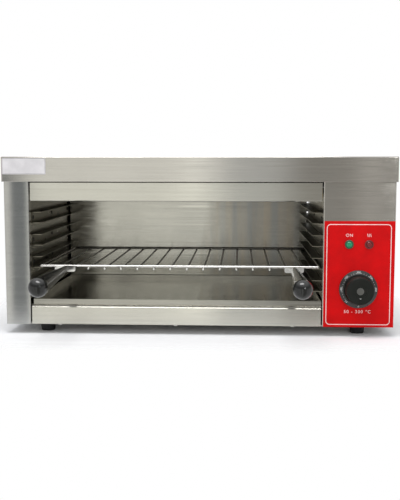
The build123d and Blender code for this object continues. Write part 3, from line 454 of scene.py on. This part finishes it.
# ------------------------------------------------------------------ plastic, rubber, enamel
put(
    moulded("grip_bakelite", (0.009, 0.0095, 0.009), 0.14, grain=0.04, coat=0.25),
    "left_handle_grip",
    "right_handle_grip",
)
put(moulded("white_ceramic", (0.8, 0.77, 0.7), 0.35, grain=0.1), "element_insulators")
put(moulded("thermostat_phenolic", (0.12, 0.1, 0.085), 0.45), "thermostat_body")
put(moulded("block_nylon", (0.72, 0.7, 0.64), 0.5), "terminal_block")
put(
    moulded("gland_nylon", (0.025, 0.025, 0.028), 0.48, grain=0.3),
    "cable_gland_body",
    "cable_gland_cap",
    "cable_gland_locknut",
)
put(moulded("live_insulation", (0.16, 0.07, 0.035), 0.5), "live_wires")
put(moulded("neutral_insulation", (0.03, 0.1, 0.36), 0.5), "neutral_wires")
put(moulded("earth_insulation", (0.12, 0.42, 0.06), 0.5), "earth_wire")
put(moulded("lead_insulation", (0.5, 0.47, 0.42), 0.5), "lamp_leads")
put(moulded("foot_rubber", (0.012, 0.012, 0.013), 0.75, grain=0.5, size=500.0), "rubber_feet")
put(moulded("badge_enamel", (0.66, 0.64, 0.645), 0.3, grain=0.04, coat=0.2), "badge_plate")
put(
    moulded("label_film", (0.59, 0.004, 0.005), 0.55, grain=0.1, size=1600.0, gloss=0.08),
    "control_label",
)
put(moulded("dial_black", (0.026, 0.027, 0.025), 0.3, grain=0.1, coat=0.1), "dial_ring")
put(
    moulded("knob_plastic", (0.013, 0.0145, 0.012), 0.4, grain=0.12, gloss=0.16),
    "temperature_knob",
)
put(
    moulded("green_rim", (0.015, 0.09, 0.045), 0.3, grain=0.05, coat=0.5),
    "power_lamp_bezel",
)
put(
    moulded("red_rim", (0.16, 0.012, 0.012), 0.3, grain=0.05, coat=0.5),
    "heat_lamp_bezel",
)
put(moulded("lamp_housing", (0.03, 0.03, 0.032), 0.45), "power_lamp_body", "heat_lamp_body")
put(lens("green_lens", (0.006, 0.27, 0.115), 0.25, 700.0), "power_lamp_lens")
put(lens("red_lens", (0.2, 0.010, 0.010), 0.01, 480.0), "heat_lamp_lens")


# ------------------------------------------------------------------ mesh helpers
def in_scene(name, data):
    obj = bpy.data.objects.new(name, data)
    bpy.context.scene.collection.objects.link(obj)
    return obj


def new_piece(name, mesh, material, body):
    obj = in_scene(name, mesh)
    mesh.materials.clear()
    mesh.materials.append(material)
    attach(obj, body)


def text_mesh(text, height, spacing=1.0):
    """Flat text as a mesh in the XY plane, centred, with capitals of the given height."""
    capital_share = 0.72  # height of a capital in type of size 1
    curve = bpy.data.curves.new("text", "FONT")
    curve.body = text
    curve.align_x = "CENTER"
    curve.align_y = "CENTER"
    curve.space_character = spacing
    curve.size = height / capital_share
    curve.resolution_u = 6
    holder = in_scene("text", curve)
    bpy.context.view_layer.update()
    evaluated = holder.evaluated_get(bpy.context.evaluated_depsgraph_get())
    mesh = bpy.data.meshes.new_from_object(evaluated)
    bpy.data.objects.remove(holder)
    low = [min(v.co[i] for v in mesh.vertices) for i in (X, Y)]
    high = [max(v.co[i] for v in mesh.vertices) for i in (X, Y)]
    middle = Vector(((low[X] + high[X]) / 2, (low[Y] + high[Y]) / 2, 0))
    for v in mesh.vertices:
        v.co -= middle
    return mesh


def flat_face(name, outline):
    """One flat face in the XY plane."""
    mesh = bpy.data.meshes.new(name)
    mesh.from_pydata([(x, y, 0) for x, y in outline], [], [tuple(range(len(outline)))])
    return mesh


def thicken(mesh, depth):
    """Gives a flat mesh in the XY plane a thickness towards +Z."""
    bm = bmesh.new()
    bm.from_mesh(mesh)
    bmesh.ops.remove_doubles(bm, verts=bm.verts, dist=1e-7)
    made = bmesh.ops.extrude_face_region(bm, geom=bm.faces[:])
    for v in made["geom"]:
        if isinstance(v, bmesh.types.BMVert):
            v.co.z += depth
    bmesh.ops.recalc_face_normals(bm, faces=bm.faces)
    bm.to_mesh(mesh)
    bm.free()
    return mesh


def on_front(mesh, x, y, z):
    """Moves a mesh from the XY plane to the front, facing -Y, with its back at y."""
    mesh.transform(Matrix.Translation((x, y, z)) @ Matrix.Rotation(math.radians(90), 4, "X"))
    return mesh


def rounded_outline(width, height, radius, steps=10):
    points = []
    corners = ((1, 1, 0), (-1, 1, 90), (-1, -1, 180), (1, -1, 270))
    for sx, sz, start in corners:
        cx = sx * (width / 2 - radius)
        cz = sz * (height / 2 - radius)
        for step in range(steps + 1):
            angle = math.radians(start + 90 * step / steps)
            points.append((cx + radius * math.cos(angle), cz + radius * math.sin(angle)))
    return points


def frame_line(width, height, radius, line):
    """Closed printed line round a rounded rectangle, in the XY plane."""
    outer = rounded_outline(width, height, radius)
    inner = rounded_outline(width - 2 * line, height - 2 * line, radius - line)
    mesh = bpy.data.meshes.new("line")
    count = len(outer)
    points = [(x, z, 0) for x, z in outer + inner]
    faces = [(i, (i + 1) % count, count + (i + 1) % count, count + i) for i in range(count)]
    mesh.from_pydata(points, [], faces)
    return mesh


def disc(radius, steps=16):
    angles = [2 * math.pi * i / steps for i in range(steps)]
    return flat_face("disc", [(radius * math.cos(a), radius * math.sin(a)) for a in angles])


def wave_line(x, height, width, line, steps=24):
    """The points and faces of one upright wavy stroke."""
    middle = []
    for step in range(steps + 1):
        t = step / steps
        middle.append((x + width * math.sin(2 * math.pi * t), height * (t - 0.5)))
    left = []
    right = []
    for index, (px, pz) in enumerate(middle):
        ax, az = middle[max(0, index - 1)]
        bx, bz = middle[min(steps, index + 1)]
        length = math.hypot(bx - ax, bz - az)
        nx, nz = (bz - az) / length, -(bx - ax) / length
        left.append((px + nx * line / 2, pz + nz * line / 2, 0))
        right.append((px - nx * line / 2, pz - nz * line / 2, 0))
    count = steps + 1
    faces = [(i, i + 1, count + i + 1, count + i) for i in range(steps)]
    return left + right, faces


def heating_sign(pitch, height, swing, stroke):
    """Three wavy strokes side by side."""
    points = []
    faces = []
    for x in (-pitch, 0.0, pitch):
        more, quads = wave_line(x, height, swing, stroke)
        faces += [tuple(i + len(points) for i in quad) for quad in quads]
        points += more
    mesh = bpy.data.meshes.new("sign")
    mesh.from_pydata(points, [], faces)
    return mesh


# ------------------------------------------------------------------ printed details
label_low, label_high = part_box("control_label")
dial_low, dial_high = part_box("dial_ring")
label_front = label_low.y
panel_x = (dial_low.x + dial_high.x) / 2
knob_z = (dial_low.z + dial_high.z) / 2
print_depth = 0.08 * MM

ink = moulded("label_ink", (0.88, 0.68, 0.66), 0.5, grain=0.1)
dial_ink = moulded("dial_ink", (0.68, 0.7, 0.68), 0.5, grain=0.1)
tick_ink = moulded("tick_ink", (0.6, 0.61, 0.58), 0.5, grain=0.1)
line_ink = moulded("badge_line_ink", (0.3, 0.29, 0.29), 0.45, grain=0.05)

# Line round the label
border_left = label_low.x + 3.6 * MM
border_right = label_high.x - 5.5 * MM
border_bottom = label_low.z + 3.5 * MM
border_top = label_high.z - 4.6 * MM
border_radius = 6.0 * MM
border_line = 1.15 * MM
border = thicken(
    frame_line(border_right - border_left, border_top - border_bottom, border_radius, border_line),
    print_depth,
)
border_x = (border_left + border_right) / 2
border_z = (border_bottom + border_top) / 2
new_piece("label_border", on_front(border, border_x, label_front, border_z), ink, "case")

# Line round the badge plate
badge_low, badge_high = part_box("badge_plate")
badge_inset = 0.6 * MM
badge_width = badge_high.x - badge_low.x - 2 * badge_inset
badge_height = badge_high.z - badge_low.z - 2 * badge_inset
badge_radius = 1.2 * MM
badge_stroke = 0.5 * MM
badge_line = thicken(frame_line(badge_width, badge_height, badge_radius, badge_stroke), print_depth)
badge_x = (badge_low.x + badge_high.x) / 2
badge_z = (badge_low.z + badge_high.z) / 2
new_piece("badge_line", on_front(badge_line, badge_x, badge_low.y, badge_z), line_ink, "case")

# Words and sign on the label
lens_low, lens_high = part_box("power_lamp_lens")
power_x = (lens_low.x + lens_high.x) / 2
lamp_z = (lens_low.z + lens_high.z) / 2
lens_low, lens_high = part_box("heat_lamp_lens")
heat_x = (lens_low.x + lens_high.x) / 2
word_z = lamp_z + 14.2 * MM
word_height = 4.8 * MM
degrees_x = panel_x - 1.0 * MM
degrees_z = label_low.z + 24.6 * MM
degrees_height = 5.0 * MM


def word(name, text, x, z, height, spacing=1.0):
    mesh = thicken(text_mesh(text, height, spacing), print_depth)
    new_piece(name, on_front(mesh, x, label_front, z), ink, "case")


word("label_on", "ON", power_x, word_z, word_height, 1.15)
word("label_degrees", "50 - 300 °C", degrees_x, degrees_z, degrees_height, 1.25)
sign = heating_sign(pitch=2.4 * MM, height=word_height, swing=0.55 * MM, stroke=0.7 * MM)
sign = on_front(thicken(sign, print_depth), heat_x, label_front, word_z)
new_piece("label_heat_sign", sign, ink, "case")

# The sloping face of the dial ring, from its rim up to its top edge. The ring's outer
# radius and height are read from its mesh, and its rim height and top radius repeat
# the sizes that the ring was made with.
dial_radius = (dial_high.x - dial_low.x) / 2
dial_height = dial_high.y - dial_low.y
dial_rim_height = 1.6 * MM
dial_top_radius = 23.6 * MM
slope_length = math.hypot(dial_radius - dial_top_radius, dial_height - dial_rim_height)
slope_run = (dial_radius - dial_top_radius) / slope_length
slope_rise = (dial_height - dial_rim_height) / slope_length


def on_dial(mesh, clock_angle, middle=0.5, lift=0.03 * MM):
    """Lays a flat mesh on the dial's cone, its top outward. Angle in degrees clockwise from 12 o'clock."""
    centre = math.radians(90 - clock_angle)
    for v in mesh.vertices:
        along = middle * slope_length + v.co.y
        radius = dial_top_radius + along * slope_run
        height = dial_height - along * slope_rise
        radius_out = radius + (v.co.z + lift) * slope_rise
        height_out = height + (v.co.z + lift) * slope_run
        angle = centre - v.co.x / radius
        v.co = Vector((
            panel_x + radius_out * math.cos(angle),
            label_front - height_out,
            knob_z + radius_out * math.sin(angle),
        ))
    return mesh


def dial_number(number, clock_angle):
    mesh = thicken(text_mesh(str(number), dial_number_height), print_depth)
    new_piece(f"dial_number_{number}", on_dial(mesh, clock_angle), dial_ink, "case")


dial_numbers = (50, 100, 150, 200, 250, 300)
dial_number_height = 3.2 * MM
dial_step = 45
dial_zero_angle = 180
dots_per_step = 4
dot_step = dial_step / (dots_per_step + 1)
dot_radius = 0.42 * MM
dot_place = 0.3

for index, number in enumerate(dial_numbers):
    number_angle = dial_zero_angle + dial_step * (index + 1)
    dial_number(number, number_angle)
    if number == dial_numbers[-1]:
        continue
    for dot in range(1, dots_per_step + 1):
        mark = on_dial(thicken(disc(dot_radius), print_depth), number_angle + dot_step * dot, dot_place)
        new_piece(f"dial_dot_{number}_{dot}", mark, dial_ink, "case")
dial_number(0, dial_zero_angle)

# Mark on the front of the knob
knob_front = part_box("temperature_knob")[0].y
tick_width = 2.6 * MM
tick_height = 0.7 * MM
tick_drop = 11.1 * MM
tick = flat_face("tick", rounded_outline(tick_width, tick_height, tick_height / 3, 4))
tick = on_front(thicken(tick, print_depth), panel_x, knob_front, knob_z - tick_drop)
new_piece("knob_tick", tick, tick_ink, "knob")

# ------------------------------------------------------------------ light in the reflections
side_card = (0.80, 0.79, 0.76)
dark_flag = (0.25, 0.26, 0.265)
bright_wall = (0.95, 0.95, 0.90)
strip_lamp = (1.30, 1.30, 1.23)
grey_wall = (0.60, 0.61, 0.60)
dim_wall = (0.33, 0.32, 0.30)
narrow_card = (0.66, 0.64, 0.61)

# Where each band starts and ends, from the left at 0 to the right at 1.
band_stops = (
    (0.00, side_card),
    (0.09, side_card),
    (0.12, dark_flag),
    (0.215, dark_flag),
    (0.25, bright_wall),
    (0.42, bright_wall),
    (0.44, strip_lamp),
    (0.485, grey_wall),
    (0.54, grey_wall),
    (0.575, dim_wall),
    (0.635, dim_wall),
    (0.655, narrow_card),
    (0.675, dim_wall),
    (1.00, dim_wall),
)
band_reach = 0.5        # radians to each side of the front
side_fade = (0.5, 1.0)  # radians from the front over which the bands end
side_level = (0.72, 0.72, 0.71)
above_fade = (0.12, 0.32)
top_fade = (0.45, 0.85)
above_level = (0.3, 0.3, 0.3)
top_level = (1.2, 1.2, 1.2)
even_light = (0.97, 0.98, 1.0)
even_strength = 0.72
white = (1.0, 1.0, 1.0)


def studio_world():
    """White to the camera, even light for matt surfaces, and soft bands for glossy ones."""
    world = bpy.data.worlds.new("studio")
    bpy.context.scene.world = world
    world.use_nodes = True
    graph = Graph(world.node_tree)
    graph.tree.nodes.clear()
    out = graph.add("ShaderNodeOutputWorld")

    def background(colour, strength=1.0):
        node = graph.add("ShaderNodeBackground")
        graph.feed(node.inputs["Color"], colour)
        node.inputs["Strength"].default_value = strength
        return node.outputs[0]

    x, y, z = graph.where("Generated")
    azimuth = graph.maths("ARCTAN2", x, graph.maths("MULTIPLY", y, -1.0))
    ramp = graph.add("ShaderNodeValToRGB")
    ramp.color_ramp.interpolation = "LINEAR"
    elements = ramp.color_ramp.elements
    for index, (place, colour) in enumerate(band_stops):
        element = elements[index] if index < 2 else elements.new(place)
        element.position = place
        element.color = (*colour, 1)
    graph.link(graph.spread(azimuth, 0.0, 1.0, -band_reach, band_reach), ramp.inputs["Fac"])

    side = graph.soft_step(graph.maths("ABSOLUTE", azimuth), *side_fade)
    around = graph.mix(side, ramp.outputs["Color"], side_level)
    above = graph.mix(graph.soft_step(z, *top_fade), above_level, top_level)
    mirror = graph.mix(graph.soft_step(z, *above_fade), around, above)

    path = graph.add("ShaderNodeLightPath")
    on_object = graph.mix_shaders(
        path.outputs["Is Glossy Ray"], background(even_light, even_strength), background(mirror)
    )
    seen = graph.mix_shaders(path.outputs["Is Camera Ray"], on_object, background(white))
    graph.link(seen, out.inputs["Surface"])


# ------------------------------------------------------------------ floor, lamps, camera
floor_half = 6.0
shadow_middle = (0.0, (stile_low.y + stile_high.y) / 2)
shadow_half = (0.30, 0.16)
camera_fade = 0.12       # metres over which the floor turns white to the camera
reflection_fade = 0.22   # metres over which it leaves the reflections
reflection_clear = 0.97


def floor():
    """Pale floor that fades into the white background away from the object."""
    mesh = bpy.data.meshes.new("floor")
    corners = [(-1, -1), (1, -1), (1, 1), (-1, 1)]
    mesh.from_pydata([(floor_half * x, floor_half * y, 0) for x, y in corners], [], [(0, 1, 2, 3)])
    obj = in_scene("floor", mesh)
    finish = Finish("floor_paper", (0.93, 0.935, 0.95), 0.9, Specular_IOR_Level=0.0)
    mottle = finish.spread(finish.even_noise(9.0, 2.0), 0.0, 1.0)
    finish.tint(mottle, (0.925, 0.93, 0.945), (0.935, 0.94, 0.955))

    where = finish.where()
    squares = []
    for axis in (X, Y):
        off = finish.maths("ABSOLUTE", finish.maths("SUBTRACT", where[axis], shadow_middle[axis]))
        over = finish.maths("MAXIMUM", finish.maths("SUBTRACT", off, shadow_half[axis]), 0.0)
        squares.append(finish.maths("MULTIPLY", over, over))
    away = finish.maths("SQRT", finish.maths("ADD", *squares))

    path = finish.add("ShaderNodeLightPath")
    seen = finish.spread(away, 0.0, 1.0, 0.0, camera_fade)
    seen = finish.maths("MULTIPLY", seen, path.outputs["Is Camera Ray"])
    mirrored = finish.spread(away, 0.0, reflection_clear, 0.0, reflection_fade)
    mirrored = finish.maths("MULTIPLY", mirrored, path.outputs["Is Glossy Ray"])
    clear = finish.add("ShaderNodeBsdfTransparent")
    surface = finish.mix_shaders(
        finish.maths("MAXIMUM", seen, mirrored), finish.shader.outputs[0], clear.outputs[0]
    )
    finish.link(surface, finish.tree.nodes["Material Output"].inputs["Surface"])
    mesh.materials.append(finish.material)


def soft_light(name, place, target, width, height, power):
    data = bpy.data.lights.new(name, "AREA")
    data.shape = "RECTANGLE"
    data.size = width
    data.size_y = height
    data.energy = power
    obj = in_scene(name, data)
    obj.location = place
    direction = Vector(target) - Vector(place)
    obj.rotation_euler = direction.to_track_quat("-Z", "Y").to_euler()


studio_world()
floor()
soft_light("top_light", (-0.12, -0.55, 1.6), (0, -0.05, 0.1), width=1.0, height=0.55, power=14.0)
soft_light("front_light", (0.75, -1.7, 0.75), (0, 0, 0.12), width=0.3, height=0.3, power=2.5)

camera_lens = 58.93
camera_sensor = 36.0
camera_distance = 1.2608  # in front of the case
camera_place = (0.0664, stile_low.y - camera_distance, 0.2665)
camera_yaw = 0.0499
camera_pitch = 0.1043

camera_data = bpy.data.cameras.new("photo_camera")
camera_data.lens = camera_lens
camera_data.sensor_width = camera_sensor
camera_data.clip_start = 0.01
camera = in_scene("photo_camera", camera_data)
camera.location = camera_place
forward = Vector((
    -math.sin(camera_yaw) * math.cos(camera_pitch),
    math.cos(camera_yaw) * math.cos(camera_pitch),
    -math.sin(camera_pitch),
))
camera.rotation_euler = forward.to_track_quat("-Z", "Y").to_euler()
bpy.context.scene.camera = camera
bpy.context.scene.view_settings.view_transform = "Standard"
